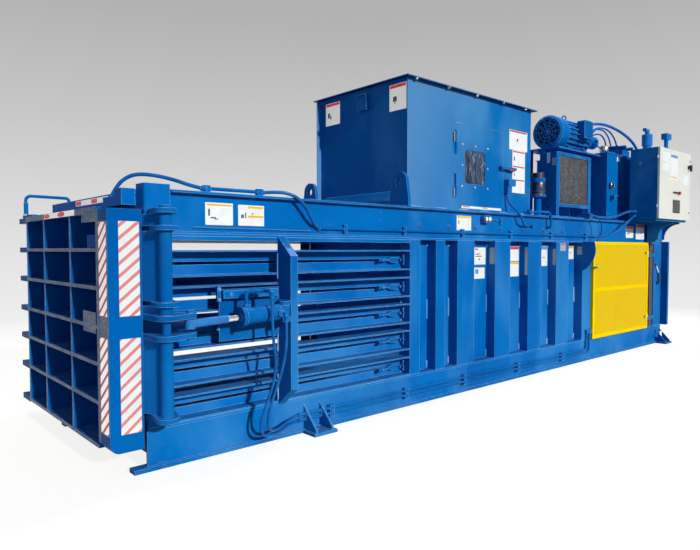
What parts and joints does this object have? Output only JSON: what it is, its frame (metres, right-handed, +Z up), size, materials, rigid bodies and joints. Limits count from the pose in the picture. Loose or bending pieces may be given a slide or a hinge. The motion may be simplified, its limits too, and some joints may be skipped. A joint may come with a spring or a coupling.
{
  "type": "horizontal recycling baler",
  "caption": "Horizontal recycling baler with a hinged ribbed discharge door, slotted tying chamber, charge hopper, press ram, hydraulic power unit and control cabinet.",
  "frame": {"origin": "on the floor at the centre of the four anchor bolts", "axes": "+X towards the rear end plate along the machine, -Y towards the hinge and control side, +Z up"},
  "size_m": [7.169, 2.1263, 2.7491],
  "materials": {
    "blue_paint": "gloss",
    "yellow_paint": "gloss",
    "cream_paint": "satin",
    "bright_steel": "polished",
    "plain_steel": "satin",
    "cooler_fins": "matte",
    "mesh_yellow": "satin",
    "dark_film": "gloss",
    "black_plastic": "matte",
    "red_plastic": "gloss",
    "hose_blue": "satin"
  },
  "bodies": {
    "frame": {"base_frame": "blue_paint", "anchor_feet": "blue_paint", "front_frame": "blue_paint", "side_slats": "blue_paint", "wall_ribs": "blue_paint", "chamber_plates": "blue_paint", "wire_guides": "blue_paint", "top_beams": "blue_paint", "rear_frame": "blue_paint", "hopper_shell": "blue_paint", "lifting_lugs": "blue_paint", "hopper_fittings": "blue_paint", "hinge_brackets": "blue_paint", "cylinder_anchor": "blue_paint", "lock_guides": "blue_paint", "main_cylinder": "blue_paint", "oil_tank": "blue_paint", "oil_cooler": "blue_paint", "cooler_core": "cooler_fins", "motor_housing": "blue_paint", "hydraulic_pump": "blue_paint", "valve_manifold": "blue_paint", "return_filters": "blue_paint", "enclosure_box": "blue_paint", "enclosure_bracket": "blue_paint", "rigid_pipes": "blue_paint", "door_hose_front": "hose_blue", "door_hose_rear": "hose_blue", "header_hose": "hose_blue", "beam_hose": "hose_blue", "suction_hose": "hose_blue", "pressure_hose": "hose_blue", "deck_hose": "hose_blue", "upper_cable": "hose_blue", "lower_cable": "hose_blue", "switch_cable": "hose_blue"},
    "discharge_door": {"door_grid": "blue_paint", "door_column": "blue_paint", "door_hinge_barrels": "blue_paint"},
    "door_cylinder": {"door_cylinder_barrel": "blue_paint"},
    "door_rod": {"door_cylinder_rod": "bright_steel"},
    "lock_bar": {"door_lock_bar": "blue_paint"},
    "ram": {"ram_body": "blue_paint", "ram_rod": "bright_steel"},
    "hopper_door": {"man_door": "blue_paint", "man_door_window": "dark_film"},
    "hopper_door_latch": {"man_door_latch": "black_plastic"},
    "side_guard": {"guard_frame": "yellow_paint", "guard_mesh": "mesh_yellow"},
    "side_guard_latch": {"guard_latch": "plain_steel"},
    "rotor": {"motor_rotor": "plain_steel"},
    "valve_lever": {"drain_lever": "plain_steel"},
    "control_door": {"enclosure_door": "cream_paint"},
    "disconnect": {"disconnect_handle": "black_plastic"},
    "upper_lock": {"door_lock_upper": "plain_steel"},
    "lower_lock": {"door_lock_lower": "plain_steel"},
    "button_1": {"push_button_1": "black_plastic"},
    "button_2": {"push_button_2": "black_plastic"},
    "button_3": {"push_button_3": "black_plastic"},
    "stop": {"stop_button": "red_plastic"}
  },
  "joints": [
    {"name": "discharge_door_hinge", "type": "hinge", "parent": "frame", "child": "discharge_door", "pos_m": [-3.943, -0.78, 0.86], "axis": [0, 0, 1], "range_deg": [0, 95]},
    {"name": "door_cylinder_swing", "type": "hinge", "parent": "frame", "child": "door_cylinder", "pos_m": [-3.19, -0.77, 0.83], "axis": [0, 0, 1], "range_deg": [-7.8, 0.5]},
    {"name": "door_rod_slide", "type": "slide", "parent": "door_cylinder", "child": "door_rod", "axis": [-0.9982, 0.0329, -0.0494], "range_m": [0, 0.2025]},
    {"name": "lock_bar_slide", "type": "slide", "parent": "frame", "child": "lock_bar", "axis": [0, 0, 1], "range_m": [-0.1, 0]},
    {"name": "ram_stroke", "type": "slide", "parent": "frame", "child": "ram", "axis": [-1, 0, 0], "range_m": [0, 2.2]},
    {"name": "hopper_door_hinge", "type": "hinge", "parent": "frame", "child": "hopper_door", "pos_m": [-1.25, -0.5453, 1.929], "axis": [0, 0, -1], "range_deg": [0, 100]},
    {"name": "hopper_door_latch_turn", "type": "hinge", "parent": "hopper_door", "child": "hopper_door_latch", "pos_m": [-0.6, -0.564, 1.95], "axis": [0, -1, 0], "range_deg": [0, 90]},
    {"name": "side_guard_hinge", "type": "hinge", "parent": "frame", "child": "side_guard", "pos_m": [2.4545, -0.639, 0.756], "axis": [0, 0, 1], "range_deg": [0, 110]},
    {"name": "side_guard_latch_turn", "type": "hinge", "parent": "side_guard", "child": "side_guard_latch", "pos_m": [1.024, -0.65, 1.01], "axis": [0, 1, 0], "range_deg": [0, 90]},
    {"name": "rotor_spin", "type": "hinge", "parent": "frame", "child": "rotor", "pos_m": [1, -0.252, 2.486], "axis": [1, 0, 0], "continuous": true},
    {"name": "valve_lever_turn", "type": "hinge", "parent": "frame", "child": "valve_lever", "pos_m": [1.725, -0.527, 1.837], "axis": [0, 0, 1], "range_deg": [-90, 0]},
    {"name": "control_door_hinge", "type": "hinge", "parent": "frame", "child": "control_door", "pos_m": [1.89, -0.95, 1.97], "axis": [0, 0, -1], "range_deg": [0, 110]},
    {"name": "disconnect_turn", "type": "hinge", "parent": "control_door", "child": "disconnect", "pos_m": [2.77, -0.972, 2.215], "axis": [0, 1, 0], "range_deg": [0, 90]},
    {"name": "upper_lock_turn", "type": "hinge", "parent": "control_door", "child": "upper_lock", "pos_m": [2.815, -0.972, 2.29], "axis": [0, 1, 0], "range_deg": [0, 90]},
    {"name": "lower_lock_turn", "type": "hinge", "parent": "control_door", "child": "lower_lock", "pos_m": [2.815, -0.972, 1.66], "axis": [0, 1, 0], "range_deg": [0, 90]},
    {"name": "button_1_press", "type": "slide", "parent": "control_door", "child": "button_1", "axis": [0, 1, 0], "range_m": [0, 0.004], "stiffness_N_per_m": 400},
    {"name": "button_2_press", "type": "slide", "parent": "control_door", "child": "button_2", "axis": [0, 1, 0], "range_m": [0, 0.004], "stiffness_N_per_m": 400},
    {"name": "button_3_press", "type": "slide", "parent": "control_door", "child": "button_3", "axis": [0, 1, 0], "range_m": [0, 0.004], "stiffness_N_per_m": 400},
    {"name": "stop_press", "type": "slide", "parent": "control_door", "child": "stop", "axis": [0, 1, 0], "range_m": [0, 0.004]}
  ],
  "couplings": [
    {"joint": "door_cylinder_swing", "follows": "discharge_door_hinge", "ratio": -0.080598},
    {"joint": "door_rod_slide", "follows": "discharge_door_hinge", "m_per_rad": 0.1211}
  ]
}
